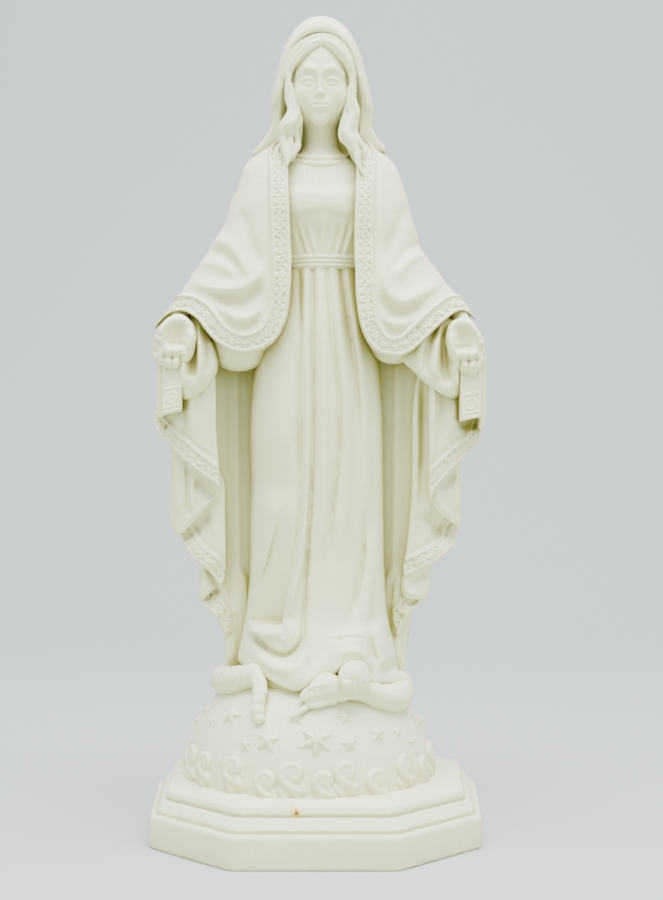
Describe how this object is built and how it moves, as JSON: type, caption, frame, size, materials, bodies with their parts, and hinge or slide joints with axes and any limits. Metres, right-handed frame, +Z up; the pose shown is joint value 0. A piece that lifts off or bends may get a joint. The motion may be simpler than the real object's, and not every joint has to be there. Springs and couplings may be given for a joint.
{
  "type": "madonna statue",
  "caption": "Standing robed and veiled figure with open lowered hands, on a starry globe with a serpent, cast in white plaster on an octagonal plinth.",
  "frame": {"origin": "centre of the plinth's flat underside", "axes": "+Z up through the figure, -Y the way the figure faces, +X towards the figure's own left hand"},
  "size_m": [0.1084, 0.0974, 0.25],
  "materials": {
    "plaster": "matte",
    "plaster_skin": "matte"
  },
  "bodies": {
    "root": {"plinth": "plaster", "globe": "plaster", "globe_stars": "plaster", "cloud_scrolls": "plaster", "serpent_coil_right": "plaster", "serpent_coil_left": "plaster", "serpent_head": "plaster", "serpent_tail": "plaster", "foot_left": "plaster_skin", "gown_skirt": "plaster", "sash": "plaster", "gown_bodice": "plaster", "neckline": "plaster", "head": "plaster_skin", "hair": "plaster", "veil": "plaster", "cape_right": "plaster", "cape_left": "plaster", "mantle_back": "plaster", "mantle_fall_right": "plaster", "mantle_fall_left": "plaster", "sleeve_right": "plaster", "sleeve_left": "plaster", "hand_right": "plaster_skin", "hand_left": "plaster_skin", "band_right": "plaster", "band_left": "plaster"}
  },
  "joints": []
}
